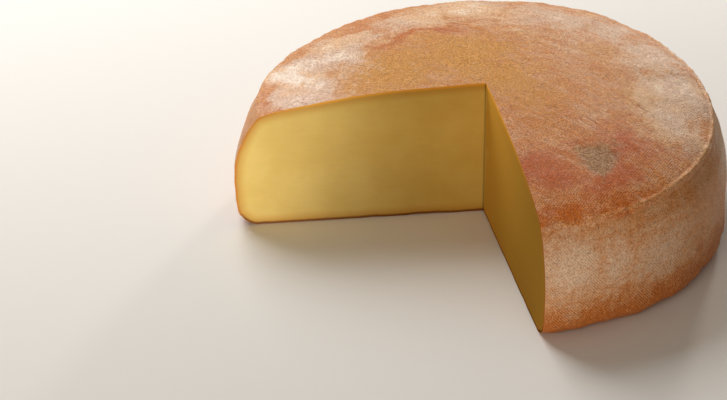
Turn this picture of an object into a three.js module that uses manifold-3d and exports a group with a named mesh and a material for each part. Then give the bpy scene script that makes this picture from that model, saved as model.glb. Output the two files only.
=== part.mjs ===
// A wheel of raclette cheese with a wedge cut out of it, lying on its flat base.
//
// Millimetres, +Z up. The base lies on Z = 0 with the middle of the part's box over the origin, and the
// cut opens towards -X -Y.
// One solid: the crowned top, the lipped rim, the low belly of the side and the rounded foot are one
// uneven lathe shape, and two knife cuts that meet on the axis take the wedge out of it.

import * as THREE from "three";
import { mergeVertices } from "three/addons/utils/BufferGeometryUtils.js";
import Module from "manifold-3d";

// Driving dimensions
const WHEEL_RADIUS = 150; // at the belly, the widest girth
const RIM_RADIUS = 140; // at the edge between top and side
const RIM_HEIGHT = 75;
const CROWN_HEIGHT = 17; // of the middle of the top above the rim
const FOOT_RADIUS = 136; // of the flat base
const FOOT_ROUND = 10; // height of the rounding between base and side
const BELLY_HEIGHT = 30; // of the widest girth above the base
const CUT_ANGLE = 95.3; // degrees between the two cuts
const CUT_BISECTOR = 224.65; // degrees from +X, halfway between the cuts

// How the side and the top curve
const SHOULDER_POWER = 2.5; // higher keeps the side upright for longer below the rim
const CROWN_POWER = 0.72; // of the crown's fall to the rim, where 0.5 is an ellipse
const NECK_DEPTH = 1.5; // hollow of the side just under the rim's lip, away from the cuts
const NECK_DROP = 6; // of the hollow below the rim
const NECK_WIDTH = 4;

// How the soft cheese gives way beside the cuts
const SLUMP_ANGLE = 14; // degrees from a cut over which it fades
const RIM_DRAWN_IN = 3; // of the rim, right at a cut
const BELLY_SPREAD = 2; // of the side halfway up, right at a cut

// Unevenness of a wheel that was pressed and turned by hand
const GIRTH_WAVES = [
  { count: 1, height: 1.5, phase: 4.36 },
  { count: 2, height: 1.6, phase: 1.77 },
  { count: 3, height: 1.5, phase: 4.21 },
  { count: 5, height: 0.4, phase: 4.4 },
];
const RIM_WAVES = [
  { count: 1, height: 2.6, phase: 0.23 },
  { count: 2, height: 1.3, phase: 0.93 },
  { count: 7, height: 0.35, phase: 1.2 },
  { count: 19, height: 0.3, phase: 5.1 },
];
const FOOT_WAVES = [
  { count: 4, height: 1.2, phase: 4.36 },
  { count: 11, height: 0.6, phase: 0.2 },
  { count: 23, height: 0.4, phase: 2.6 },
];

// Fineness of the faceted surface
const TURN_STEPS = 144;
const FOOT_STEPS = 5;
const SIDE_STEPS = 14;
const CROWN_STEPS = 16;

const RIND_COLOUR = 0xc08a5c;
const RIND_ROUGHNESS = 0.75;

const DEGREE = Math.PI / 180;

const wasm = await Module();
wasm.setup();

// The part of the profile's outline that rounds the foot, from the base up to the side.
function footCurve() {
  const spread = WHEEL_RADIUS - FOOT_RADIUS;
  return Array.from({ length: FOOT_STEPS }, (_, i) => {
    const turn = ((i / FOOT_STEPS) * Math.PI) / 2;
    return new THREE.Vector2(FOOT_RADIUS + spread * Math.sin(turn), FOOT_ROUND * (1 - Math.cos(turn)));
  });
}

// Radius of the side at a height: upright up to the belly, then leaning in to the rim.
function sideRadius(height) {
  const rise = Math.max(0, (height - BELLY_HEIGHT) / (RIM_HEIGHT - BELLY_HEIGHT));
  return RIM_RADIUS + (WHEEL_RADIUS - RIM_RADIUS) * (1 - rise ** SHOULDER_POWER);
}

// The side from the top of the foot's rounding to the rim, with its steps closer together near the rim.
function sideCurve() {
  return Array.from({ length: SIDE_STEPS + 1 }, (_, i) => {
    const share = Math.sin(((i / SIDE_STEPS) * Math.PI) / 2);
    const height = FOOT_ROUND + (RIM_HEIGHT - FOOT_ROUND) * share;
    return new THREE.Vector2(sideRadius(height), height);
  });
}

// The crown from just inside the rim to the axis.
function crownCurve() {
  return Array.from({ length: CROWN_STEPS }, (_, i) => {
    const share = Math.cos((((i + 1) / CROWN_STEPS) * Math.PI) / 2);
    const radius = i + 1 === CROWN_STEPS ? 0 : RIM_RADIUS * share;
    return new THREE.Vector2(radius, RIM_HEIGHT + CROWN_HEIGHT * (1 - share ** 2) ** CROWN_POWER);
  });
}

// Sum of a list of waves round the wheel at an angle.
function waveSum(waves, angle) {
  return waves.reduce((sum, wave) => sum + wave.height * Math.sin(wave.count * angle + wave.phase), 0);
}

// Share of the slump at an angle: 1 at either cut, fading to 0 away from it.
function slumpShare(angle) {
  const pastBisector = THREE.MathUtils.euclideanModulo(angle - CUT_BISECTOR * DEGREE, 2 * Math.PI);
  const fromBisector = Math.min(pastBisector, 2 * Math.PI - pastBisector);
  const fromCut = fromBisector - (CUT_ANGLE * DEGREE) / 2;
  return Math.exp(-((fromCut / (SLUMP_ANGLE * DEGREE)) ** 2));
}

// Moves the smooth lathe shape's vertices by the waves, the neck and the slump beside the cuts, where the
// neck fades out. The base stays flat, and the axis stays where it is.
function makeUneven(geometry) {
  const position = geometry.getAttribute("position");
  const point = new THREE.Vector3();
  for (let i = 0; i < position.count; i++) {
    point.fromBufferAttribute(position, i);
    const radius = Math.hypot(point.x, point.y);
    const angle = Math.atan2(point.y, point.x);
    const outward = Math.min(1, radius / RIM_RADIUS) ** 2;
    const upward = Math.min(1, point.z / RIM_HEIGHT);
    const nearFoot = Math.max(0, 1 - point.z / (2 * FOOT_ROUND));
    const slump = BELLY_SPREAD * Math.sin(Math.PI * upward) - RIM_DRAWN_IN * upward ** 4;
    const neck = NECK_DEPTH * Math.exp(-(((RIM_HEIGHT - NECK_DROP - point.z) / NECK_WIDTH) ** 2));
    const slumped = slumpShare(angle);
    const girth = waveSum(GIRTH_WAVES, angle) + nearFoot * waveSum(FOOT_WAVES, angle);
    const swell = outward * (girth + slump * slumped - neck * (1 - slumped));
    const lift = upward * outward * waveSum(RIM_WAVES, angle);
    const stretch = radius > 0 ? (radius + swell) / radius : 1;
    position.setXYZ(i, point.x * stretch, point.y * stretch, point.z + lift);
  }
}

// A closed geometry as a solid: seams are merged, and triangles that collapsed on the axis are dropped.
function toSolid(geometry) {
  geometry.deleteAttribute("normal");
  geometry.deleteAttribute("uv");
  const merged = mergeVertices(geometry, 1e-3);
  const corners = merged.index.array;
  const kept = [];
  for (let i = 0; i < corners.length; i += 3) {
    const [a, b, c] = corners.slice(i, i + 3);
    if (a !== b && b !== c && c !== a) kept.push(a, b, c);
  }
  return new wasm.Manifold(
    new wasm.Mesh({
      numProp: 3,
      vertProperties: merged.getAttribute("position").array,
      triVerts: new Uint32Array(kept),
    }),
  );
}

// A solid's surface as a geometry that three.js can draw.
function toGeometry(solid) {
  const mesh = solid.getMesh();
  const geometry = new THREE.BufferGeometry();
  geometry.setAttribute("position", new THREE.BufferAttribute(mesh.vertProperties, 3));
  geometry.setIndex(new THREE.BufferAttribute(mesh.triVerts, 1));
  geometry.computeVertexNormals();
  return geometry;
}

// The whole wheel before it is cut.
function wholeWheel() {
  const profile = [new THREE.Vector2(0, 0), ...footCurve(), ...sideCurve(), ...crownCurve()];
  const geometry = new THREE.LatheGeometry(profile, TURN_STEPS);
  geometry.rotateX(Math.PI / 2);
  makeUneven(geometry);
  return toSolid(geometry);
}

// The prism between the two cuts, which reaches past the wheel on every open side.
function cutWedge() {
  const past = 1.5 * WHEEL_RADIUS;
  const reach = past / Math.cos((CUT_ANGLE / 2) * DEGREE);
  const corner = (side) => {
    const angle = (CUT_BISECTOR + (side * CUT_ANGLE) / 2) * DEGREE;
    return new THREE.Vector2(reach * Math.cos(angle), reach * Math.sin(angle));
  };
  const outline = new THREE.Shape([new THREE.Vector2(0, 0), corner(-1), corner(1)]);
  const geometry = new THREE.ExtrudeGeometry(outline, { depth: 2 * RIM_HEIGHT, bevelEnabled: false });
  geometry.translate(0, 0, -RIM_HEIGHT / 2);
  return toSolid(geometry);
}

// Shifts a geometry sideways so that the middle of its box stands on the Z axis.
function centreOnAxis(geometry) {
  geometry.computeBoundingBox();
  const middle = geometry.boundingBox.getCenter(new THREE.Vector3());
  geometry.translate(-middle.x, -middle.y, 0);
  return geometry;
}

function cheeseWheel() {
  const material = new THREE.MeshStandardMaterial({
    color: RIND_COLOUR,
    roughness: RIND_ROUGHNESS,
    metalness: 0,
  });
  const cutWheel = wholeWheel().subtract(cutWedge());
  const wheel = new THREE.Mesh(centreOnAxis(toGeometry(cutWheel)), material);
  wheel.name = "cheese_wheel";
  return wheel;
}

const part = new THREE.Group();
part.add(cheeseWheel());

export default part;
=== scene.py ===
# The looks of a raclette cheese wheel with a wedge cut out of it. Metres, +Z up, in the part's own frame.
# One closed mesh stands for the wheel: rings of the rind from the middle of the base round to the middle
# of the top, and two cut faces of paste that share the rings' ends.

import math

import bpy
import numpy as np
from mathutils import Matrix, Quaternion, Vector, noise


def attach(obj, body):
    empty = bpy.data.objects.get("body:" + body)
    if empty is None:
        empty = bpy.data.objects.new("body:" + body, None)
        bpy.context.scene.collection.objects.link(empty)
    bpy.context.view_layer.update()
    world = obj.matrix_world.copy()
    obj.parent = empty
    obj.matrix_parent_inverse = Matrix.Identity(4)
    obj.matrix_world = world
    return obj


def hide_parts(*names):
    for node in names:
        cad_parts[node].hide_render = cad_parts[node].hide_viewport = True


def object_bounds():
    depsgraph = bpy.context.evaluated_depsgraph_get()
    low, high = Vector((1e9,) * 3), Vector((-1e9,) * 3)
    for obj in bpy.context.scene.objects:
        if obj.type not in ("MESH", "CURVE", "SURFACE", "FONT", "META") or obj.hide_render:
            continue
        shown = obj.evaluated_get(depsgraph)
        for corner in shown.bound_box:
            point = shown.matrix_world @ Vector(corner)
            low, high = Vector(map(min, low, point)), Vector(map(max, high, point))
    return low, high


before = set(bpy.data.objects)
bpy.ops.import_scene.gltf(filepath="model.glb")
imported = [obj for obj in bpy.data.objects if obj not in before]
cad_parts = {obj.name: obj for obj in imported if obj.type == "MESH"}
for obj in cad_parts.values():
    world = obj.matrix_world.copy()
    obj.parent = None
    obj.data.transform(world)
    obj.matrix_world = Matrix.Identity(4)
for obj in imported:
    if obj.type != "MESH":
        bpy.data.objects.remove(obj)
cad_low, cad_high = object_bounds()

MM = 0.001
DEGREE = math.pi / 180
FULL_TURN = 2 * math.pi

# The wheel's form
WHEEL_RADIUS = 150 * MM  # at the belly, the widest girth
RIM_RADIUS = 140 * MM  # at the edge between top and side
RIM_HEIGHT = 75 * MM
CROWN_HEIGHT = 17 * MM  # of the middle of the top above the rim
FOOT_RADIUS = 136 * MM  # of the flat base
FOOT_ROUND = 10 * MM  # height of the rounding between base and side
BELLY_HEIGHT = 30 * MM  # of the widest girth above the base
CUT_ANGLE = 95.3 * DEGREE  # between the two cuts
CUT_BISECTOR = 224.65 * DEGREE  # from +X, halfway between the cuts
CUT_START = CUT_BISECTOR + CUT_ANGLE / 2  # the front cut, where the arc of cheese starts
ARC = FULL_TURN - CUT_ANGLE  # of the cheese that is left
FRONT_CUT_Y = -1 * MM  # the front cut lies below this, and the left cut above it
SHOULDER_POWER = 2.5  # higher keeps the side upright for longer below the rim
CROWN_POWER = 0.72  # of the crown's fall to the rim, where 0.5 is an ellipse
NECK_DEPTH = 1.5 * MM  # hollow of the side just under the rim's lip, away from the cuts
NECK_DROP = 6 * MM  # of the hollow below the rim
NECK_WIDTH = 4 * MM
SLUMP_ANGLE = 14 * DEGREE  # from a cut over which the slump beside it fades
RIM_DRAWN_IN = 3 * MM  # of the rim, right at a cut
BELLY_SPREAD = 2 * MM  # of the side halfway up, right at a cut

# Unevenness round the wheel: waves in a turn, height and phase
GIRTH_WAVES = ((1, 1.5 * MM, 4.36), (2, 1.6 * MM, 1.77), (3, 1.5 * MM, 4.21), (5, 0.4 * MM, 4.4))
RIM_WAVES = ((1, 2.6 * MM, 0.23), (2, 1.3 * MM, 0.93), (7, 0.35 * MM, 1.2), (19, 0.3 * MM, 5.1))
FOOT_WAVES = ((4, 1.2 * MM, 4.36), (11, 0.6 * MM, 0.2), (23, 0.4 * MM, 2.6))

# Fineness of the mesh
CELL = 1.25 * MM  # of the rind that shows
RIM_CELL = 0.6 * MM  # across the rim, over a band on either side of it
RIM_BAND = 6 * MM
BASE_CELL = 3 * MM  # of the base, which lies on the floor
PASTE_CELL = 4 * MM  # of the cut faces, away from the rind
PASTE_RINGS = 22
FEWEST_IN_RING = 4  # points of a cut face's ring
SHARP_ANGLE = 60 * DEGREE  # between faces, from which an edge shows
TINY = 1e-18  # keeps a stretch of no length from dividing by zero

# Relief: size of the bumps, height either way and seed of their random field
SEED_STEP = (17.3, -4.1, 9.7)  # between the places where two seeds start in the noise
SWELL = (26 * MM, 0.55 * MM, 1)
DIMPLE = (7 * MM, 0.22 * MM, 2)
FOOT_KNOB = (10 * MM, 1.3 * MM, 3)
BASE_WARP = (14 * MM, 1.2 * MM, 5)
PASTE_WAVE = (40 * MM, 0.35 * MM, 6)
PASTE_WAVE_FROM_RIND = 5 * MM  # over which the waves of the cut faces come up
PASTE_WAVE_FROM_AXIS = 12 * MM

# The rim's lip and the crease right under it
LIP_INSET, LIP_WIDTH, LIP_HEIGHT = 1.0 * MM, 1.3 * MM, 0.9 * MM
LIP_MEAN = 0.65  # of the lip's height
LIP_WRINKLE = (5 * MM, 0.7, 4)  # bumps, as a share of the lip's height
LIP_FADE_ANGLE = 15 * DEGREE  # from a cut over which the lip comes up
UNDERCUT_DROP, UNDERCUT_WIDTH, UNDERCUT_DEPTH = 2.4 * MM, 1.6 * MM, 0.9 * MM

# The plain pressed mark on the top, an oval dimple beside the front cut
MARK_PLACE = (50.5 * MM, -87 * MM)  # from the wheel's axis
MARK_HALF_LENGTH = 15 * MM
MARK_HALF_WIDTH = 10.5 * MM  # halfway along it
MARK_TAPER = 0.55  # how much wider it is at its far end, and narrower at its near end
MARK_TAPER_LIMITS = (0.3, 2)
MARK_TURN = 83 * DEGREE  # of its length from +X
MARK_DEPTH = 0.35 * MM
MARK_EDGE = (0.8, 1.1)  # over which the dimple ends, where 1 is the mark's edge
MARK_RAGGED = ((8 * MM, 0.3, 7), (3 * MM, 0.25, 7))  # bumps of its edge
MARK_REACH = 1.5  # how far out its colour can run, where 1 is the mark's edge
OFF_THE_MARK = 9  # what stands for a place that isn't on the top

# Creases in the top: from and to, in mm from the wheel's axis
CREASES = (
    ((63, -74), (61, -84)),
    ((61, -84), (64, -97)),
    ((30, -30), (37, -34)),
    ((48, -46), (56, -58)),
    ((52, -44), (59, -55)),
    ((84, -28), (92, -38)),
)
CREASE_WIDTH, CREASE_DEPTH = 0.9 * MM, 0.35 * MM
CREASE_WANDER_X = (5 * MM, 1.5 * MM, 8)  # bumps, as for the relief
CREASE_WANDER_Y = (5 * MM, 1.5 * MM, 9)

# The nick in the rim
NICK_ANGLE = 295.7 * DEGREE
NICK_HALF_WIDTH = 2.2 * MM  # along the rim
NICK_REACH = 3 * MM  # away from the rim
NICK_DEPTH = 1.6 * MM

# How patches of colour get ragged edges: size and height of the bumps that shift their places
PATCH_SHIFTS = ((24 * MM, 14 * MM), (8 * MM, 7 * MM))
PATCH_SHIFT_SEEDS = (10, 11)  # along X and along Y
OVER_RIM_PACE = 2.5  # how much sooner the top's patches end below the rim than inside it
SIDE_FADE = 3 * MM  # below the rim, over which the side's colours come up

# Patches on the top: angle in degrees, radius, half length round the wheel and half width in mm, strength
BLOOM_PATCHES = (
    # The first and strongest patch also paints the sheen at the left of the top, a painted highlight
    (158, 122, 24, 18, 1.6),
    (167, 106, 34, 22, 1.2),
    (146, 111, 34, 19, 1.25),
    (160, 92, 40, 26, 0.5),
    (131, 110, 22, 15, 0.85),
    (112, 104, 24, 14, 0.65),
    (101, 113, 24, 20, 1.0),
    (84, 118, 30, 20, 1.15),
    (66, 100, 50, 22, 0.75),
    (56, 118, 40, 20, 0.95),
    (36, 84, 44, 34, 0.45),
    (35, 118, 32, 16, 0.8),
    (14, 114, 30, 24, 0.85),
    (352, 116, 30, 24, 1.05),
    (338, 112, 30, 24, 1.0),
    (329, 130, 16, 10, 0.7),
    (331, 80, 26, 18, 0.3),
    (278, 62, 18, 12, 0.35),
)
RED_PATCHES = (
    (314, 108, 22, 21, 1.05),
    (304, 84, 20, 10, 0.75),
    (280, 92, 30, 25, 0.95),
    (296, 116, 34, 16, 1.0),
    (98, 84, 18, 10, 0.85),
    (302, 46, 48, 40, 0.42),
    (322, 128, 20, 8, 0.5),
)
GOLD_PATCHES = (
    (150, 62, 46, 34, 1.0),
    (108, 42, 44, 36, 1.0),
    (20, 14, 40, 34, 0.9),
    (318, 34, 26, 26, 0.8),
    (8, 106, 18, 9, 0.7),
    (346, 92, 16, 8, 0.5),
    (22, 86, 20, 10, 0.5),
)
ORANGE_PATCHES = (
    (279, 132, 22, 11, 1.15),
    (294, 136, 28, 8, 1.0),
    (288, 121, 16, 9, 0.7),
    (124, 124, 28, 8, 0.65),
    (114, 88, 36, 7, 0.85),
    (172, 133, 9, 7, 0.9),
    (4, 131, 7, 6, 0.8),
    (355, 132, 8, 5, 0.9),
    (347, 129, 6, 7, 0.9),
)

# Patches of bloom on the side, which have a height in place of the radius
SIDE_BLOOM_PATCHES = (
    (279, 50, 22, 22, 0.95),
    (290, 46, 18, 20, 0.75),
    (302, 42, 32, 20, 0.65),
    (326, 46, 40, 22, 0.2),
    (342, 58, 26, 16, 0.8),
    (16, 44, 40, 26, 0.75),
    (46, 36, 44, 26, 0.85),
    (76, 46, 36, 24, 0.75),
    (104, 36, 46, 28, 0.9),
    (138, 44, 40, 22, 0.75),
    (166, 38, 32, 28, 0.9),
)

# Camera, which stands as the photograph's did
CAMERA_AIM = (-87.1 * MM, -94.2 * MM, 75 * MM)
CAMERA_DISTANCE = 1445.6 * MM
CAMERA_TURN = 8.56 * DEGREE  # of its view from +Y towards +X
CAMERA_DIP = 31.69 * DEGREE  # of its view below the horizon
CAMERA_ROLL = -0.455 * DEGREE
CAMERA_LENS = 123.5  # mm, on a sensor 36 mm wide
CAMERA_REACH = 20  # how far it sees

# Colours of the rind as they look on a screen, 0 to 255
TOP_DARK, TOP_LIGHT = (188, 116, 56), (210, 148, 82)
SIDE_DARK, SIDE_LIGHT = (198, 132, 76), (212, 155, 102)
WARM_STREAK, PALE_STREAK = (206, 126, 56), (212, 168, 138)
GOLD, RED, ORANGE = (202, 140, 36), (184, 88, 24), (190, 100, 14)
BLOOM_COOL, BLOOM_WARM = (216, 190, 170), (230, 194, 156)
# Thick bloom, which is also the painted sheen where light glances off the left of the top
THICK_BLOOM_AND_SHEEN = (248, 234, 218)
BLOOM_ON_SIDE = (216, 189, 164)
LOW_BAND = (182, 100, 26)
# Paler colour of the lip, a painted highlight along the rim's edge
PAINTED_LIP_HIGHLIGHT = (226, 180, 128)
MARK_DARK, MARK_LIGHT = (138, 102, 68), (172, 136, 98)
CREASE = (150, 74, 30)
THREAD = (230, 184, 134)
PORE = (104, 58, 26)

# Noises of the rind: size of their features in mm, detail, roughness and distortion
BROAD = (48.0, 3.0, 0.55, 0.0)
BLOTCH = (16.0, 4.0, 0.6, 0.6)
MOTTLE = (5.0, 4.0, 0.65, 0.0)
SPECKLE = (1.7, 3.0, 0.7, 0.0)
GRAIN = (0.9, 1.0, 0.6, 0.0)
ROUND_STREAK = (5.0, 4.0, 0.6, 0.4)
BRUSH_STREAK = (4.0, 4.0, 0.6, 0.6)
NOISE_MIDDLE = 0.5

# How streaks run: round the wheel, and as brush strokes across the top
STREAK_STRETCH = 3.5  # how much longer than wide the streaks round the wheel are
BRUSH_TURN = 42 * DEGREE  # of the strokes across the top, from -X towards +Y
BRUSH_SQUEEZE = (0.22, 1.0, 1.0)  # of the noise along a stroke, which draws the stroke out

# The cloth whose weave is pressed into the rind
THREAD_PITCH = 1.3  # mm
THREAD_TURN = 39 * DEGREE
THREAD_SHARES = (0.75, 0.25)  # of the threads that run one way and the other
THREAD_SWAY = 6.0  # radians by which the mottle shifts the weave's waves
CLOTH_RAMP = (0.38, 0.6, 0.4, 1.0)  # strength of the weave, by the broad noise
SIDE_CLOTH_RAMP = (0.4, 0.62, 0.35, 1.4)  # and on the side by the blotches as well

# The finest pattern, which is about NOISE_MIDDLE on the whole
SPECKLE_SHARE, GRAIN_SHARE, CLOTH_SHARE, FINE_SHIFT = 0.4, 0.8, 0.11, -0.1
FINE_CONTRAST, FINE_CONTRAST_ON_SIDE = 1.1, 0.65
GRAIN_DARK = (0.68, 0.55, 0.46, 1.0)  # what the colour is multiplied by in the pits of the pattern
GRAIN_LIGHT = (1.36, 1.37, 1.36, 1.0)  # and on its heights
GRAIN_EDGES = (0.3, 0.7)
THREAD_RAMP = (0.52, 0.68, 0.0, 0.28)  # share of the pale threads
PORE_EDGES = (0.61, 0.69)  # by the speckles
PORE_BLOTCH_EDGES = (0.42, 0.58)  # and by the blotches
PORE_SHARE = 0.65
PORES_ON_SIDE = 0.04  # how much sooner the side's speckles become pores

# How much the noises break up the edges of patches
PATCH_BLOTCH, PATCH_STREAK, PATCH_MOTTLE, PATCH_SPECKLE = 0.7, 1.7, 0.6, 0.6

# Layers of the rind's colour: edges of what drives a layer and, after them, its least and greatest share
TONE_MOTTLE, TONE_BLOTCH = 0.6, 0.4
TONE_EDGES = (0.34, 0.66)
WARM_STREAK_RAMP = (0.5, 0.64, 0.0, 0.7)
PALE_STREAK_RAMP = (0.53, 0.4, 0.0, 0.55)
GOLD_EDGES = (0.0, 1.1)
RED_EDGES = ORANGE_EDGES = (0.15, 1.05)
BLOOM_EDGES = (0.22, 0.86)
BLOOM_SHARE = 0.85
BLOOM_TONE_EDGES = (0.4, 0.6)
THICK_BLOOM_AND_SHEEN_EDGES = (0.9, 1.45)
SIDE_BLOOM_EDGES = (-0.1, 1.0)
SIDE_BLOOM_SHARE = 0.9
LOW_BAND_RAMP = (36.0, 10.0, 0.0, 0.85)  # by mm above the foot
LOW_BAND_BLOOM = 12.0  # mm by which the side's bloom lowers its edge
LOW_BAND_BLOTCH, LOW_BAND_MOTTLE, LOW_BAND_FINE = 30.0, 24.0, 26.0  # mm by which they shift its edge
# share of the lip's painted highlight
LIP_HIGHLIGHT_SHARE = 0.45
MARK_FINE = 2.0  # how much the fine pattern breaks up the mark
MARK_RAMP = (0.2, 0.75, 0.0, 0.9)
MARK_TONE_EDGES = (0.38, 0.6)
CREASE_SPECKLE = 2.0  # how much the speckles break up the creases
CREASE_RAMP = (0.4, 1.0, 0.0, 0.7)

# Sheen and fine relief of the rind
RIND_ROUGHNESS = (0.3, 0.7, 0.44, 0.64)  # by the mottle
LIP_GLOSS = -0.1  # what the lip adds to the roughness
RIND_SPECULAR = 0.3
FINE_RELIEF, FINE_RELIEF_ON_SIDE = 0.4, 0.12  # mm
MOTTLE_RELIEF = 0.5  # mm

# The paste: colours, noises and how its painted light and shade fall off, with lengths in mm
# The front cut's paste is painted darker than the left cut's, a painted shade
PASTE_DARK, PASTE_LIGHT, SHADED_FRONT_PASTE = (198, 158, 74), (204, 166, 82), (174, 128, 48)
PASTE_EDGE = (182, 128, 48)
PASTE_EDGE_RAMP = (8.0, 1.0, 0.0, 0.8)  # by depth below the rind
CRUST_FOOT, CRUST_SIDE, CRUST_TOP = (118, 68, 26), (178, 114, 44), (216, 154, 56)
CRUST_FOOT_EDGES, CRUST_TOP_EDGES = (3.0, 12.0), (76.0, 86.0)  # by height
CRUST_EDGES = (2.4, 0.8)  # by depth below the rind
CRUST_RAGGED = 0.8  # mm by which the grain shifts those depths
CLOUD = (28.0, 3.0, 0.55, 0.0)
CLOUD_EDGES = (0.3, 0.7)
PASTE_GRAIN = (1.4, 3.0, 0.6, 0.0)
KNIFE_MARK = (1.2, 3.0, 0.6, 0.0)
KNIFE_SQUEEZE = 0.12  # draws the knife's marks out along the cut
KNIFE_SHADE = (0.25, 0.75, 0.985, 1.015)
# Painted light: the paste lighter towards the axis, where the corner between the cuts is in shade
AXIS_SHADE = (60.0, 0.0, 0.0, 0.08)  # by distance from the axis
# Painted shade: the paste darker towards the base, half as much on the front cut
HEIGHT_SHADE = (5.0, 85.0, -0.21, 0.07)  # by height
HEIGHT_SHADE_REACH = (140.0, 80.0)  # distances from the axis between which that comes up
FRONT_HEIGHT_SHADE = 0.5  # of that on the front cut
# Painted light and shade: the front cut lighter near the axis and darker towards the rind
FRONT_SHADE = (0.0, 130.0, 0.25, -0.36)  # of the front cut, by distance from the axis
# Painted shade: a dark line along the seam where the two cuts meet
SEAM_SHADE = (0.3, 1.1, 0.6, 1.0)  # where the cuts meet, by distance from the axis
PASTE_GRAIN_RELIEF, KNIFE_RELIEF = 0.08, 0.07
PASTE_ROUGHNESS = 0.45
PASTE_SPECULAR = 0.0
PASTE_SUBSURFACE = 0.3
PASTE_SUBSURFACE_RADIUS = (1.0, 0.55, 0.2)
PASTE_SUBSURFACE_SCALE = 5 * MM

# The floor
FLOOR_HALF_WIDTH = 4.0
FLOOR_DARK, FLOOR_LIGHT = (240, 239, 237), (244, 243, 241)
FLOOR_MOTTLE = (400.0, 2.0, 0.55, 0.0)
FLOOR_ROUGHNESS = 0.7
FLOOR_SPECULAR = 0.2

# Soft square lamps: turn and dip of the light's travel, distance, width, watts and colour
SOFT_LAMPS = {
    "back_light": (155 * DEGREE, 42 * DEGREE, 1.3, 0.9, 16, (1.0, 0.98, 0.95)),
    "front_light": (34 * DEGREE, 20 * DEGREE, 1.8, 0.9, 7.5, (1.0, 0.87, 0.7)),
    "right_light": (-150 * DEGREE, 14 * DEGREE, 1.5, 0.15, 5.5, (1.0, 0.93, 0.82)),
}

# Soft spots on the cheese alone: turn of the light's travel, aim, cone, watts and colour
SPOTS = {
    "end_light": (-10 * DEGREE, (-190 * MM, 0, 38 * MM), 10.2 * DEGREE, 110, (0.94, 1.14, 1.8)),
    "side_light": (4 * DEGREE, (16 * MM, -150 * MM, 48 * MM), 7.4 * DEGREE, 24, (1.0, 0.96, 0.9)),
}
SPOT_DIP = 17 * DEGREE
SPOT_DISTANCE = 1.6
SPOT_SOFTNESS = 0.05  # radius of the lamp
SKY_COLOUR = (255, 242, 225)
SKY_STRENGTH = 0.15


def smooth(value, low, high):
    """0 below low, 1 above high, and an S-curve between."""
    t = np.clip((value - low) / (high - low), 0, 1)
    return t * t * (3 - 2 * t)


def bumps(points, size, height, seed):
    """Smooth random bumps at the points, about as wide as size and up to about height either way."""
    start = Vector(SEED_STEP) * (seed + 1)
    return height * np.array([noise.noise(Vector(p) + start) for p in points / size])


def turn_from(start, angle):
    """The turn from one angle to another, from minus a half turn to a half turn."""
    return (angle - start + FULL_TURN / 2) % FULL_TURN - FULL_TURN / 2


def wave_sum(waves, angle):
    return sum(height * np.sin(count * angle + phase) for count, height, phase in waves)


def slump_share(angle, fade=SLUMP_ANGLE):
    """1 at either cut, fading to 0 away from it."""
    from_cut = np.abs(turn_from(CUT_BISECTOR, angle)) - CUT_ANGLE / 2
    return np.exp(-((from_cut / fade) ** 2))


def side_radius(height):
    rise = np.maximum(0, (height - BELLY_HEIGHT) / (RIM_HEIGHT - BELLY_HEIGHT))
    return RIM_RADIUS + (WHEEL_RADIUS - RIM_RADIUS) * (1 - rise**SHOULDER_POWER)


def profile():
    """Radius, height and cell size of each ring, from the middle of the base to the middle of the top."""
    base = np.linspace(0, FOOT_RADIUS, round(FOOT_RADIUS / BASE_CELL))[:-1]
    turn = np.linspace(0, math.pi / 2, round(math.pi / 2 * FOOT_ROUND / CELL))[:-1]
    foot = FOOT_RADIUS + (WHEEL_RADIUS - FOOT_RADIUS) * np.sin(turn)
    neck_foot = RIM_HEIGHT - RIM_BAND
    side = np.linspace(FOOT_ROUND, neck_foot, round((neck_foot - FOOT_ROUND) / CELL))[:-1]
    neck = np.linspace(neck_foot, RIM_HEIGHT, round(RIM_BAND / RIM_CELL))[:-1]
    lip = np.linspace(RIM_RADIUS, RIM_RADIUS - RIM_BAND, round(RIM_BAND / RIM_CELL))[:-1]
    crown = np.linspace(RIM_RADIUS - RIM_BAND, 0, round((RIM_RADIUS - RIM_BAND) / CELL))
    side = np.concatenate([side, neck])
    crown = np.concatenate([lip, crown])
    inside_rim = np.clip(1 - (crown / RIM_RADIUS) ** 2, 0, 1)
    crown_height = RIM_HEIGHT + CROWN_HEIGHT * inside_rim**CROWN_POWER
    radius = np.concatenate([base, foot, side_radius(side), crown])
    height = np.concatenate([0 * base, FOOT_ROUND * (1 - np.cos(turn)), side, crown_height])
    cell = np.where(np.arange(len(radius)) < len(base), BASE_CELL, CELL)
    return radius, height, cell


def uneven(radius, height, angle):
    """The radius and height of a point of the smooth wheel once the wheel's unevenness has moved it."""
    outward = np.minimum(1, radius / RIM_RADIUS) ** 2
    upward = np.minimum(1, height / RIM_HEIGHT)
    near_foot = np.maximum(0, 1 - height / (2 * FOOT_ROUND))
    slump = BELLY_SPREAD * np.sin(math.pi * upward) - RIM_DRAWN_IN * upward**4
    neck = NECK_DEPTH * np.exp(-(((RIM_HEIGHT - NECK_DROP - height) / NECK_WIDTH) ** 2))
    slumped = slump_share(angle)
    girth = wave_sum(GIRTH_WAVES, angle) + near_foot * wave_sum(FOOT_WAVES, angle)
    swell = outward * (girth + slump * slumped - neck * (1 - slumped))
    lift = upward * outward * wave_sum(RIM_WAVES, angle)
    return radius + swell, height + lift


def polar_points(radius, angle, height):
    return np.stack([radius * np.cos(angle), radius * np.sin(angle), height], axis=-1)


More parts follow.
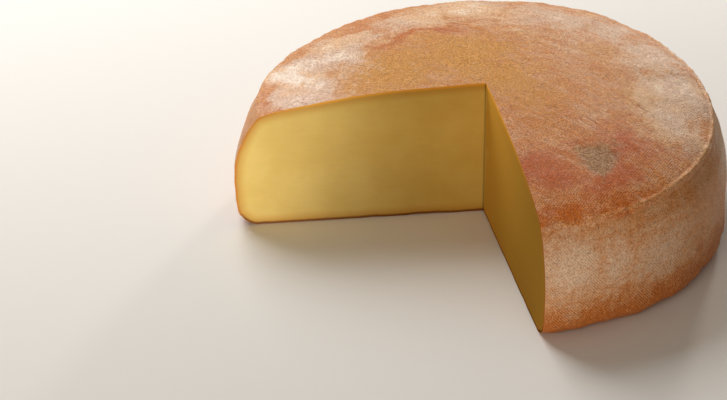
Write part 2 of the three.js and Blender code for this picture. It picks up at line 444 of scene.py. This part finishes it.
class Rind:
    """The rind's vertices, ring after ring, and what is known of each."""

    def __init__(self):
        ring_radius, ring_height, ring_cell = profile()
        counts = [max(1, round(ARC * r / c) + 1) if r > 0 else 1 for r, c in zip(ring_radius, ring_cell)]
        starts = np.concatenate([[0], np.cumsum(counts)])
        self.rings = [np.arange(a, b) for a, b in zip(starts[:-1], starts[1:])]
        self.radius = np.repeat(ring_radius, counts)
        self.height = np.repeat(ring_height, counts)
        self.angle = np.concatenate([CUT_START + ARC * np.linspace(0, 1, n) for n in counts])
        self.top = self.height >= RIM_HEIGHT
        self.base = np.repeat(ring_height == 0, counts)
        slope = np.concatenate([[0], np.cumsum(np.hypot(np.diff(ring_radius), np.diff(ring_height)))])
        self.slope = np.repeat(slope, counts)
        self.outward = np.repeat(self.profile_normals(ring_radius, ring_height), counts, axis=0)
        moved = uneven(self.radius, self.height, self.angle)
        self.points = polar_points(moved[0], self.angle, moved[1])
        self.points += self.along_normal(self.relief())
        self.points[self.base, 2] = self.base_warp()
        self.points[:, 2] = np.maximum(0, self.points[:, 2])
        self.patch_angle, self.patch_radius = self.ragged_place()

    @staticmethod
    def profile_normals(radius, height):
        """Outward directions of the profile at its rings, as radial and upward parts."""
        normal = np.stack([np.gradient(height), -np.gradient(radius)], axis=-1)
        return normal / np.linalg.norm(normal, axis=1, keepdims=True)

    def along_normal(self, distance):
        radial = distance * self.outward[:, 0]
        return polar_points(radial, self.angle, distance * self.outward[:, 1])

    def from_mark(self):
        """Distance from the pressed mark's middle, where 1 is its edge."""
        x = self.points[:, 0] - MARK_PLACE[0]
        y = self.points[:, 1] - MARK_PLACE[1]
        along = x * math.cos(MARK_TURN) + y * math.sin(MARK_TURN)
        across = y * math.cos(MARK_TURN) - x * math.sin(MARK_TURN)
        taper = 1 + MARK_TAPER * along / MARK_HALF_LENGTH
        half_width = MARK_HALF_WIDTH * np.clip(taper, *MARK_TAPER_LIMITS)
        ragged = 1 + sum(bumps(self.points, *edge) for edge in MARK_RAGGED)
        distance = np.hypot(along / MARK_HALF_LENGTH, across / half_width) * ragged
        return np.where(self.top, distance, OFF_THE_MARK)

    def from_rim(self):
        return np.hypot(self.radius - RIM_RADIUS, self.height - RIM_HEIGHT)

    def lip(self):
        """Share of the rim's lip, from 0 to 1, which comes up away from the cuts."""
        from_lip = (RIM_RADIUS - LIP_INSET - self.radius) / LIP_WIDTH
        lipped = 1 - slump_share(self.angle, LIP_FADE_ANGLE)
        return np.where(self.top, np.exp(-(from_lip**2)) * lipped, 0)

    def creases(self):
        """Share of the creases in the top, from 0 to 1."""
        x = self.points[:, 0] + bumps(self.points, *CREASE_WANDER_X)
        y = self.points[:, 1] + bumps(self.points, *CREASE_WANDER_Y)
        places = np.stack([x, y], axis=-1)
        nearest = np.min([distance_from(np.array(crease) * MM, places) for crease in CREASES], axis=0)
        return np.where(self.top, np.exp(-((nearest / CREASE_WIDTH) ** 2)), 0)

    def relief(self):
        """Height of the fine relief, from the broad swells down to the nick in the rim."""
        relief = bumps(self.points, *SWELL) + bumps(self.points, *DIMPLE)
        near_foot = np.exp(-((self.height / FOOT_ROUND) ** 2))
        relief += near_foot * bumps(self.points, *FOOT_KNOB)
        relief += LIP_HEIGHT * self.lip() * (LIP_MEAN + bumps(self.points, *LIP_WRINKLE))
        below_lip = (RIM_HEIGHT - UNDERCUT_DROP - self.height) / UNDERCUT_WIDTH
        undercut = np.exp(-(below_lip**2)) * (1 - slump_share(self.angle, LIP_FADE_ANGLE))
        relief -= np.where(self.top, 0, UNDERCUT_DEPTH * undercut)
        relief -= MARK_DEPTH * (1 - smooth(self.from_mark(), *MARK_EDGE))
        relief -= CREASE_DEPTH * self.creases()
        along_rim = RIM_RADIUS * turn_from(NICK_ANGLE, self.angle)
        nick = np.exp(-((along_rim / NICK_HALF_WIDTH) ** 2) - (self.from_rim() / NICK_REACH) ** 2)
        return relief - NICK_DEPTH * nick

    def base_warp(self):
        """Heights of the base, which is hollow here and there and touches the floor in between."""
        return bumps(self.points[self.base], *BASE_WARP)

    def ragged_place(self):
        """Angle and radius of each vertex after a random shift, which makes the edges of patches ragged.

        The radius runs on over the rim and down the side, where patches soon end.
        """
        below_rim = np.maximum(0, RIM_HEIGHT - self.height)
        reach = np.where(self.top, self.radius, RIM_RADIUS + OVER_RIM_PACE * below_rim)
        x, y = reach * np.cos(self.angle), reach * np.sin(self.angle)
        for size, height in PATCH_SHIFTS:
            x = x + bumps(self.points, size, height, PATCH_SHIFT_SEEDS[0])
            y = y + bumps(self.points, size, height, PATCH_SHIFT_SEEDS[1])
        return np.arctan2(y, x), np.hypot(x, y)

    def top_patches(self, patches):
        """Strength of some patches of colour on the top and just over the rim."""
        total = np.zeros(len(self.angle))
        for degrees, radius, length, width, strength in patches:
            along = turn_from(degrees * DEGREE, self.patch_angle) * radius / length
            across = (self.patch_radius / MM - radius) / width
            total = np.maximum(total, strength * np.exp(-(along**2) - across**2))
        return total

    def side_patches(self, patches):
        """Strength of some patches of colour on the side."""
        total = np.zeros(len(self.angle))
        for degrees, height, length, width, strength in patches:
            along = turn_from(degrees * DEGREE, self.angle) * WHEEL_RADIUS / MM / length
            across = (self.height / MM - height) / width
            total = np.maximum(total, strength * np.exp(-(along**2) - across**2))
        return np.where(self.top, 0, total)


def zip_rings(low, high):
    """Triangles between two rows of vertex numbers that run the same way, whatever their lengths."""
    triangles = []
    i = j = 0
    last_low, last_high = len(low) - 1, len(high) - 1
    while i < last_low or j < last_high:
        if j == last_high or (i < last_low and (i + 1) * last_high <= (j + 1) * last_low):
            triangles.append((low[i], low[i + 1], high[j]))
            i += 1
        else:
            triangles.append((low[i], high[j + 1], high[j]))
            j += 1
    return triangles


def resample(outline, count):
    """Fewer points along an outline, spread as its own points are, its ends among them."""
    numbers = np.arange(len(outline))
    at = np.linspace(0, numbers[-1], count)
    return np.stack([np.interp(at, numbers, outline[:, k]) for k in range(2)], axis=-1)


def distance_from(line, points):
    """Distance of each point from a line of straight stretches."""
    start, step = line[:-1], np.diff(line, axis=0)
    share = ((points[:, None] - start) * step).sum(2) / np.maximum((step**2).sum(1), TINY)
    nearest = start + np.clip(share, 0, 1)[..., None] * step
    return np.linalg.norm(points[:, None] - nearest, axis=2).min(1)


class CutFaces:
    """The two faces of paste: rings that shrink from the rind's edge towards a point on the axis."""

    def __init__(self, rind):
        self.points = []
        self.depth = []
        self.triangles = []
        self.next_number = len(rind.points)
        self.scales = 1 - np.linspace(0, 1, PASTE_RINGS)[1:-1] ** 2
        ends = {0: [ring[0] for ring in rind.rings], -1: [ring[-1] for ring in rind.rings]}
        foot, head = rind.points[rind.rings[0][0], 2], rind.points[rind.rings[-1][0], 2]
        self.middle = np.array([0, (foot + head) / 2])
        axis_rows = self.axis_rows(foot, head)
        tip = self.add(np.array([[0, 0, self.middle[1]]]), np.array([self.middle[1]]))[0]
        for end, angle in ((0, CUT_START), (-1, CUT_START + ARC)):
            outer = np.array(ends[end])
            self.face(outer, rind.points[outer], angle, axis_rows, tip, flip=end == -1)

    def add(self, points, depth):
        """Adds vertices with their depths below the rind, and returns their numbers."""
        numbers = np.arange(self.next_number, self.next_number + len(points))
        self.points.append(points)
        self.depth.append(depth)
        self.next_number += len(points)
        return numbers

    def axis_rows(self, foot, head):
        """The lowest and the highest vertex of each shrunken ring, which both faces share."""
        rows = []
        for scale in self.scales:
            low = self.middle[1] + scale * (foot - self.middle[1])
            high = self.middle[1] + scale * (head - self.middle[1])
            points = np.array([[0, 0, low], [0, 0, high]])
            rows.append(self.add(points, np.array([low - foot, head - high])))
        return rows

    def face(self, outer, outer_points, angle, axis_rows, tip, flip):
        """Fills one cut, from the rind's edge at the given angle to the tip."""
        forward = np.array([math.cos(angle), math.sin(angle)])
        outline = np.stack([outer_points[:, :2] @ forward, outer_points[:, 2]], axis=-1)
        length = np.linalg.norm(np.diff(outline, axis=0), axis=1).sum()
        rows = [outer]
        for scale, (low, high) in zip(self.scales, axis_rows):
            cell = CELL + (PASTE_CELL - CELL) * (1 - scale)
            ring = resample(outline, max(FEWEST_IN_RING, round(scale * length / cell)))
            ring = self.middle + scale * (ring - self.middle)
            inner = ring[1:-1]
            depth = distance_from(outline, inner)
            points = polar_points(inner[:, 0], angle, inner[:, 1])
            fade = smooth(depth, 0, PASTE_WAVE_FROM_RIND) * smooth(inner[:, 0], 0, PASTE_WAVE_FROM_AXIS)
            wave = fade * bumps(points, *PASTE_WAVE)
            points[:, 0] -= wave * math.sin(angle)
            points[:, 1] += wave * math.cos(angle)
            rows.append(np.concatenate([[low], self.add(points, depth), [high]]))
        rows.append(np.array([tip]))
        for row, inside in zip(rows[:-1], rows[1:]):
            triangles = zip_rings(row, inside)
            self.triangles += [t[::-1] for t in triangles] if flip else triangles


def rind_values(rind):
    """What the rind's material reads at each of its vertices."""
    return {
        "bloom": rind.top_patches(BLOOM_PATCHES),
        "side_bloom": rind.side_patches(SIDE_BLOOM_PATCHES),
        "red": rind.top_patches(RED_PATCHES),
        "gold": rind.top_patches(GOLD_PATCHES),
        "orange": rind.top_patches(ORANGE_PATCHES),
        "mark": MARK_REACH - np.minimum(MARK_REACH, rind.from_mark()),
        "crease": rind.creases(),
        "lip": rind.lip(),
        "rim": np.exp(-((rind.from_rim() / RIM_BAND) ** 2)),
        "side": 1 - smooth(rind.height, RIM_HEIGHT - SIDE_FADE, RIM_HEIGHT),
        "above_foot": rind.height / MM,
        "arc": RIM_RADIUS / MM * (rind.angle - CUT_START),
        "slope": rind.slope / MM,
    }


def add_values(mesh, name, values):
    layer = mesh.attributes.new(name, "FLOAT", "POINT")
    layer.data.foreach_set("value", values.astype(np.float32))


def cheese_mesh():
    """The wheel's mesh, with rind in material slot 0 and paste in slot 1, and the place of its axis."""
    rind = Rind()
    faces = CutFaces(rind)
    ring_pairs = zip(rind.rings[:-1], rind.rings[1:])
    rind_triangles = [triangle for low, high in ring_pairs for triangle in zip_rings(low, high)]
    points = np.concatenate([rind.points, *faces.points])
    middle = (points.min(0) + points.max(0)) / 2
    cad_middle = (np.array(cad_low) + np.array(cad_high)) / 2
    points[:, :2] += (cad_middle - middle)[:2]
    mesh = bpy.data.meshes.new("cheese_wheel_mesh")
    triangles = [tuple(map(int, triangle)) for triangle in rind_triangles + faces.triangles]
    mesh.from_pydata(points.tolist(), [], triangles)
    slots = np.repeat([0, 1], [len(rind_triangles), len(faces.triangles)]).astype(np.int32)
    mesh.polygons.foreach_set("material_index", slots)
    mesh.polygons.foreach_set("use_smooth", np.ones(len(slots), bool))
    mesh.set_sharp_from_angle(angle=SHARP_ANGLE)
    add_values(mesh, "depth", np.concatenate([np.zeros(len(rind.points)), *faces.depth]) / MM)
    add_values(mesh, "front_cut", (points[:, 1] < FRONT_CUT_Y).astype(float))
    paste_zeros = np.zeros(len(points) - len(rind.points))
    for name, values in rind_values(rind).items():
        add_values(mesh, name, np.concatenate([values, paste_zeros]))
    return mesh, points[rind.rings[-1][0], :2]


def srgb(colour):
    """A colour given as it looks on a screen, 0 to 255, as a shader takes it."""
    shares = [c / 255 for c in colour]
    return tuple(c / 12.92 if c <= 0.04045 else ((c + 0.055) / 1.055) ** 2.4 for c in shares) + (1.0,)


class Shader:
    """A material's node tree, with short ways to add the nodes used here. Lengths are in millimetres."""

    def __init__(self, name):
        self.material = bpy.data.materials.new(name)
        self.material.use_nodes = True
        self.tree = self.material.node_tree
        self.tree.nodes.clear()
        self.surface = self.add("ShaderNodeBsdfPrincipled")
        output = self.add("ShaderNodeOutputMaterial")
        self.tree.links.new(self.surface.outputs["BSDF"], output.inputs["Surface"])

    def add(self, kind, inputs=None, **settings):
        node = self.tree.nodes.new(kind)
        for name, value in settings.items():
            setattr(node, name, value)
        for key, value in (inputs or {}).items():
            self.put(node.inputs[key], value)
        return node

    def put(self, socket, value):
        if isinstance(value, bpy.types.NodeSocket):
            self.tree.links.new(value, socket)
        else:
            socket.default_value = value

    def math(self, operation, first, second=0.0, third=0.0):
        return self.add("ShaderNodeMath", {0: first, 1: second, 2: third}, operation=operation).outputs[0]

    def times(self, first, second):
        return self.math("MULTIPLY", first, second)

    def times_plus(self, first, second, third):
        """The product of the first two, plus the third."""
        return self.math("MULTIPLY_ADD", first, second, third)

    def stir(self, value, pattern, share):
        """A value moved up or down by a share of how far a noise is from its middle."""
        return self.times_plus(self.math("SUBTRACT", pattern, NOISE_MIDDLE), share, value)

    def between(self, share, first, second):
        """A value that goes from the first to the second as share goes from 0 to 1."""
        return self.times_plus(self.math("SUBTRACT", second, first), share, first)

    def ramp(self, value, low, high, to_low=0.0, to_high=1.0):
        """An S-curve from to_low to to_high as the value goes from low to high."""
        inputs = {"Value": value, "From Min": low, "From Max": high, "To Min": to_low, "To Max": to_high}
        return self.add("ShaderNodeMapRange", inputs, interpolation_type="SMOOTHSTEP").outputs["Result"]

    def mix(self, share, first, second, blend="MIX"):
        node = self.add("ShaderNodeMix", data_type="RGBA", blend_type=blend)
        sockets = {s.identifier: s for s in node.inputs}
        self.put(sockets["Factor_Float"], share)
        self.put(sockets["A_Color"], first)
        self.put(sockets["B_Color"], second)
        return {s.identifier: s for s in node.outputs}["Result_Color"]

    def values(self, name):
        """Values that the mesh keeps at its vertices."""
        return self.add("ShaderNodeAttribute", attribute_name=name).outputs["Fac"]

    def place_mm(self):
        """The place on the object."""
        place = self.add("ShaderNodeTexCoord").outputs["Object"]
        inputs = {0: place, "Scale": 1 / MM}
        return self.add("ShaderNodeVectorMath", inputs, operation="SCALE").outputs["Vector"]

    def split(self, place):
        outputs = self.add("ShaderNodeSeparateXYZ", {"Vector": place}).outputs
        return outputs["X"], outputs["Y"], outputs["Z"]

    def vector(self, x, y, z=0.0):
        return self.add("ShaderNodeCombineXYZ", {"X": x, "Y": y, "Z": z}).outputs["Vector"]

    def noise(self, place, size, detail, roughness, distortion):
        """Noise from 0 to 1 with features of about the given size."""
        shape = {"Detail": detail, "Roughness": roughness, "Distortion": distortion}
        inputs = {"Vector": place, "Scale": 1 / size, **shape}
        return self.add("ShaderNodeTexNoise", inputs).outputs["Fac"]

    def bump(self, height):
        inputs = {"Height": height, "Distance": MM, "Strength": 1.0}
        return self.add("ShaderNodeBump", inputs).outputs["Normal"]


class RindShader(Shader):
    """The washed rind: layers of colour over each other, all broken up by the same noises."""

    def __init__(self):
        super().__init__("washed_rind")
        self.place = self.place_mm()
        self.side = self.values("side")
        self.arc = self.values("arc")
        self.lip = self.values("lip")
        self.broad = self.noise(self.place, *BROAD)
        self.blotch = self.noise(self.place, *BLOTCH)
        self.mottle = self.noise(self.place, *MOTTLE)
        self.speckle = self.noise(self.place, *SPECKLE)
        self.brush_streak = self.noise(self.brushed_place(), *BRUSH_STREAK)
        sweep = self.vector(self.math("DIVIDE", self.arc, STREAK_STRETCH), self.values("slope"))
        self.streak = self.between(0.5, self.noise(sweep, *ROUND_STREAK), self.brush_streak)
        self.fine = self.fine_pattern()
        self.red = self.patch(self.values("red"), RED_EDGES)
        self.orange = self.patch(self.values("orange"), ORANGE_EDGES)
        contrast = self.between(self.side, FINE_CONTRAST, FINE_CONTRAST_ON_SIDE)
        self.crisp = self.stir(NOISE_MIDDLE, self.fine, contrast)

    def brushed_place(self):
        """The place, squeezed along the brush strokes that cross the top."""
        inputs = {"Vector": self.place, "Angle": BRUSH_TURN}
        turned = self.add("ShaderNodeVectorRotate", inputs, rotation_type="Z_AXIS").outputs["Vector"]
        inputs = {0: turned, 1: BRUSH_SQUEEZE}
        return self.add("ShaderNodeVectorMath", inputs, operation="MULTIPLY").outputs["Vector"]

    def weave(self, across, along, sway):
        """The pressed cloth's crossing threads, from -1 to 1."""
        total = 0.0
        wave_number = FULL_TURN / THREAD_PITCH
        for turn, share in zip((math.pi - THREAD_TURN, THREAD_TURN), THREAD_SHARES):
            travel = self.times_plus(across, wave_number * math.cos(turn), sway)
            travel = self.times_plus(along, wave_number * math.sin(turn), travel)
            total = self.times_plus(self.math("SINE", travel), share, total)
        return total

    def cloth(self):
        """The weave on top and side, weaker in places and gone at the rim."""
        x, y, z = self.split(self.place)
        sway = self.times(self.mottle, THREAD_SWAY)
        on_top = self.weave(x, y, sway)
        on_side = self.weave(self.times(self.arc, -1.0), z, sway)
        on_side = self.times(on_side, self.ramp(self.blotch, *SIDE_CLOTH_RAMP))
        cloth = self.between(self.side, on_top, on_side)
        cloth = self.times(cloth, self.ramp(self.broad, *CLOTH_RAMP))
        return self.times(cloth, self.math("SUBTRACT", 1.0, self.values("rim")))

    def fine_pattern(self):
        """Grain, speckles and weave together."""
        grain = self.times_plus(self.noise(self.place, *GRAIN), GRAIN_SHARE, FINE_SHIFT)
        fine = self.times_plus(self.speckle, SPECKLE_SHARE, grain)
        return self.times_plus(self.cloth(), CLOTH_SHARE, fine)

    def patch(self, strength, edges):
        """A patch's mask, with an edge broken up by streaks, blotches and speckles."""
        strength = self.stir(strength, self.blotch, PATCH_BLOTCH)
        strength = self.stir(strength, self.streak, PATCH_STREAK)
        strength = self.stir(strength, self.mottle, PATCH_MOTTLE)
        strength = self.stir(strength, self.speckle, PATCH_SPECKLE)
        return self.ramp(strength, *edges)

    def bare_colour(self):
        """The rind without its patches: streaky on the top, tan on the side."""
        tone = self.times_plus(self.mottle, TONE_MOTTLE, self.times(self.blotch, TONE_BLOTCH))
        tone = self.ramp(tone, *TONE_EDGES)
        top = self.mix(tone, srgb(TOP_DARK), srgb(TOP_LIGHT))
        top = self.mix(self.ramp(self.brush_streak, *WARM_STREAK_RAMP), top, srgb(WARM_STREAK))
        top = self.mix(self.ramp(self.brush_streak, *PALE_STREAK_RAMP), top, srgb(PALE_STREAK))
        return self.mix(self.side, top, self.mix(tone, srgb(SIDE_DARK), srgb(SIDE_LIGHT)))

    def smears(self, colour):
        """Gold, red and orange smears over a colour."""
        colour = self.mix(self.patch(self.values("gold"), GOLD_EDGES), colour, srgb(GOLD))
        colour = self.mix(self.red, colour, srgb(RED))
        return self.mix(self.orange, colour, srgb(ORANGE))

    def bloom(self, colour):
        """Pale bloom over a colour, thick in places on the top and there also a painted sheen, and the
        brown band low on the side.
        """
        strength = self.values("bloom")
        pale = self.mix(self.ramp(self.broad, *BLOOM_TONE_EDGES), srgb(BLOOM_COOL), srgb(BLOOM_WARM))
        colour = self.mix(self.times(self.patch(strength, BLOOM_EDGES), BLOOM_SHARE), colour, pale)
        # thick bloom, and where the bloom is strongest a painted sheen
        colour = self.mix(self.patch(strength, THICK_BLOOM_AND_SHEEN_EDGES), colour, srgb(THICK_BLOOM_AND_SHEEN))
        on_side = self.values("side_bloom")
        share = self.times(self.patch(on_side, SIDE_BLOOM_EDGES), SIDE_BLOOM_SHARE)
        colour = self.mix(share, colour, srgb(BLOOM_ON_SIDE))
        edge = self.times_plus(on_side, LOW_BAND_BLOOM, self.values("above_foot"))
        edge = self.stir(edge, self.blotch, LOW_BAND_BLOTCH)
        edge = self.stir(edge, self.mottle, LOW_BAND_MOTTLE)
        edge = self.stir(edge, self.fine, LOW_BAND_FINE)
        return self.mix(self.times(self.ramp(edge, *LOW_BAND_RAMP), self.side), colour, srgb(LOW_BAND))

    def lip_highlight_mark_and_creases(self, colour):
        """The lip painted paler as a painted highlight, the worn mark and the darker creases over a
        colour.
        """
        # the lip painted paler, a painted highlight along the rim's edge
        colour = self.mix(self.times(self.lip, LIP_HIGHLIGHT_SHARE), colour, srgb(PAINTED_LIP_HIGHLIGHT))
        mark = self.stir(self.values("mark"), self.fine, MARK_FINE)
        worn = self.mix(self.ramp(self.speckle, *MARK_TONE_EDGES), srgb(MARK_DARK), srgb(MARK_LIGHT))
        colour = self.mix(self.ramp(mark, *MARK_RAMP), colour, worn)
        crease = self.stir(self.values("crease"), self.speckle, CREASE_SPECKLE)
        return self.mix(self.ramp(crease, *CREASE_RAMP), colour, srgb(CREASE))

    def texture(self, colour):
        """The fine pattern, its pale threads and dark pores over a colour."""
        tint = self.mix(self.ramp(self.crisp, *GRAIN_EDGES), GRAIN_DARK, GRAIN_LIGHT)
        colour = self.mix(1.0, colour, tint, "MULTIPLY")
        unsmeared = self.math("SUBTRACT", 1.0, self.math("MAXIMUM", self.orange, self.red))
        threads = self.times(self.ramp(self.crisp, *THREAD_RAMP), unsmeared)
        colour = self.mix(threads, colour, srgb(THREAD))
        pitted = self.times_plus(self.side, PORES_ON_SIDE, self.speckle)
        pores = self.times(self.ramp(pitted, *PORE_EDGES), self.ramp(self.blotch, *PORE_BLOTCH_EDGES))
        return self.mix(self.times(pores, PORE_SHARE), colour, srgb(PORE))

    def relief(self):
        """Height of the finest relief."""
        fine_height = self.between(self.side, FINE_RELIEF, FINE_RELIEF_ON_SIDE)
        return self.times_plus(self.crisp, fine_height, self.times(self.mottle, MOTTLE_RELIEF))


def rind_material():
    shader = RindShader()
    colour = shader.bloom(shader.smears(shader.bare_colour()))
    surface = shader.surface.inputs
    shader.put(surface["Base Color"], shader.texture(shader.lip_highlight_mark_and_creases(colour)))
    roughness = shader.ramp(shader.mottle, *RIND_ROUGHNESS)
    shader.put(surface["Roughness"], shader.times_plus(shader.lip, LIP_GLOSS, roughness))
    shader.put(surface["Normal"], shader.bump(shader.relief()))
    surface["Specular IOR Level"].default_value = RIND_SPECULAR
    return shader.material


class PasteShader(Shader):
    """The paste of the cut faces, for a wheel whose axis stands at a place."""

    def __init__(self, axis):
        super().__init__("cheese_paste")
        place = self.place_mm()
        x, y, self.height = self.split(place)
        self.cloud = self.noise(place, *CLOUD)
        self.grain = self.noise(place, *PASTE_GRAIN)
        drawn_out = self.vector(self.times(x, KNIFE_SQUEEZE), self.times(y, KNIFE_SQUEEZE), self.height)
        self.knife = self.noise(drawn_out, *KNIFE_MARK)
        self.front_cut = self.values("front_cut")
        inputs = {0: self.vector(x, y), 1: (axis[0] / MM, axis[1] / MM, 0.0)}
        distance = self.add("ShaderNodeVectorMath", inputs, operation="DISTANCE")
        self.from_axis = distance.outputs["Value"]

    def colour(self):
        """Colour of the paste, which turns amber and then to crust just below the rind."""
        colour = self.mix(self.ramp(self.cloud, *CLOUD_EDGES), srgb(PASTE_DARK), srgb(PASTE_LIGHT))
        # the front cut painted darker, a painted shade
        colour = self.mix(self.front_cut, colour, srgb(SHADED_FRONT_PASTE))
        depth = self.stir(self.values("depth"), self.grain, CRUST_RAGGED)
        colour = self.mix(self.ramp(depth, *PASTE_EDGE_RAMP), colour, srgb(PASTE_EDGE))
        crust = self.mix(self.ramp(self.height, *CRUST_FOOT_EDGES), srgb(CRUST_FOOT), srgb(CRUST_SIDE))
        crust = self.mix(self.ramp(self.height, *CRUST_TOP_EDGES), crust, srgb(CRUST_TOP))
        return self.mix(self.ramp(depth, *CRUST_EDGES), colour, crust)

    def shade(self):
        """What the colour is multiplied by: knife marks, and painted light and shade that fall off across
        each face.
        """
        shade = self.ramp(self.knife, *KNIFE_SHADE)
        # painted light towards the axis
        shade = self.math("ADD", shade, self.ramp(self.from_axis, *AXIS_SHADE))
        # painted shade, darker towards the base
        by_height = self.ramp(self.height, *HEIGHT_SHADE)
        by_height = self.times(by_height, self.between(self.front_cut, 1.0, FRONT_HEIGHT_SHADE))
        shade = self.times_plus(by_height, self.ramp(self.from_axis, *HEIGHT_SHADE_REACH), shade)
        # painted light and shade across the front cut
        shade = self.times_plus(self.ramp(self.from_axis, *FRONT_SHADE), self.front_cut, shade)
        # painted shade along the seam
        shade = self.times(shade, self.ramp(self.from_axis, *SEAM_SHADE))
        inputs = {"Red": shade, "Green": shade, "Blue": shade}
        return self.add("ShaderNodeCombineColor", inputs).outputs["Color"]

    def relief(self):
        """Height of the finest relief."""
        return self.times_plus(self.grain, PASTE_GRAIN_RELIEF, self.times(self.knife, KNIFE_RELIEF))


def paste_material(axis):
    shader = PasteShader(axis)
    surface = shader.surface.inputs
    shader.put(surface["Base Color"], shader.mix(1.0, shader.colour(), shader.shade(), "MULTIPLY"))
    shader.put(surface["Normal"], shader.bump(shader.relief()))
    surface["Roughness"].default_value = PASTE_ROUGHNESS
    surface["Specular IOR Level"].default_value = PASTE_SPECULAR
    surface["Subsurface Weight"].default_value = PASTE_SUBSURFACE
    surface["Subsurface Radius"].default_value = PASTE_SUBSURFACE_RADIUS
    surface["Subsurface Scale"].default_value = PASTE_SUBSURFACE_SCALE
    return shader.material


def floor_material():
    shader = Shader("pale_floor")
    mottle = shader.noise(shader.place_mm(), *FLOOR_MOTTLE)
    surface = shader.surface.inputs
    shader.put(surface["Base Color"], shader.mix(mottle, srgb(FLOOR_DARK), srgb(FLOOR_LIGHT)))
    surface["Roughness"].default_value = FLOOR_ROUGHNESS
    surface["Specular IOR Level"].default_value = FLOOR_SPECULAR
    return shader.material


def link(name, data):
    thing = bpy.data.objects.new(name, data)
    bpy.context.scene.collection.objects.link(thing)
    return thing


def make_cheese():
    mesh, axis = cheese_mesh()
    mesh.materials.append(rind_material())
    mesh.materials.append(paste_material(axis))
    cheese = link("cheese_wheel_surface", mesh)
    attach(cheese, "root")
    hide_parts("cheese_wheel")
    return cheese


def make_floor():
    half = FLOOR_HALF_WIDTH
    corners = [(-half, -half, 0), (half, -half, 0), (half, half, 0), (-half, half, 0)]
    mesh = bpy.data.meshes.new("floor_mesh")
    mesh.from_pydata(corners, [], [(0, 1, 2, 3)])
    mesh.materials.append(floor_material())
    floor = link("floor", mesh)


def view_direction(turn, dip):
    """A direction turned from +Y towards +X and dipped below the horizon."""
    return Vector((math.sin(turn) * math.cos(dip), math.cos(turn) * math.cos(dip), -math.sin(dip)))


def point_at(thing, aim, forward, distance):
    """Stands a camera or lamp at a distance from its aim, looking along a direction."""
    thing.location = Vector(aim) - forward * distance
    thing.rotation_mode = "QUATERNION"
    thing.rotation_quaternion = forward.to_track_quat("-Z", "Y")


def make_camera():
    data = bpy.data.cameras.new("camera")
    data.lens = CAMERA_LENS
    data.clip_end = CAMERA_REACH
    camera = link("camera", data)
    point_at(camera, CAMERA_AIM, view_direction(CAMERA_TURN, CAMERA_DIP), CAMERA_DISTANCE)
    camera.rotation_quaternion = camera.rotation_quaternion @ Quaternion((0, 0, 1), CAMERA_ROLL)
    bpy.context.scene.camera = camera


def make_soft_lamp(name, turn, dip, distance, width, watts, colour):
    """A square lamp whose light travels to the wheel's middle."""
    data = bpy.data.lights.new(name, "AREA")
    data.shape = "SQUARE"
    data.size = width
    data.energy = watts
    data.color = colour
    point_at(link(name, data), (0, 0, RIM_HEIGHT), view_direction(turn, dip), distance)


def make_spot(name, turn, aim, cone, watts, colour, lit):
    """A soft-edged spot in front of the wheel, which lights the things of one collection alone."""
    data = bpy.data.lights.new(name, "SPOT")
    data.spot_size = cone
    data.spot_blend = 1.0
    data.shadow_soft_size = SPOT_SOFTNESS
    data.energy = watts
    data.color = colour
    lamp = link(name, data)
    point_at(lamp, aim, view_direction(turn, SPOT_DIP), SPOT_DISTANCE)
    lamp.light_linking.receiver_collection = lit


def make_lights(cheese):
    for name, lamp in SOFT_LAMPS.items():
        make_soft_lamp(name, *lamp)
    lit = bpy.data.collections.new("lit_by_spots")
    lit.objects.link(cheese)
    for name, spot in SPOTS.items():
        make_spot(name, *spot, lit)


def make_sky():
    world = bpy.data.worlds.new("studio")
    world.use_nodes = True
    background = world.node_tree.nodes["Background"]
    background.inputs["Color"].default_value = srgb(SKY_COLOUR)
    background.inputs["Strength"].default_value = SKY_STRENGTH
    bpy.context.scene.world = world


make_camera()
cheese = make_cheese()
make_floor()
make_sky()
make_lights(cheese)
bpy.context.scene.view_settings.view_transform = "Standard"

bpy.context.view_layer.update()
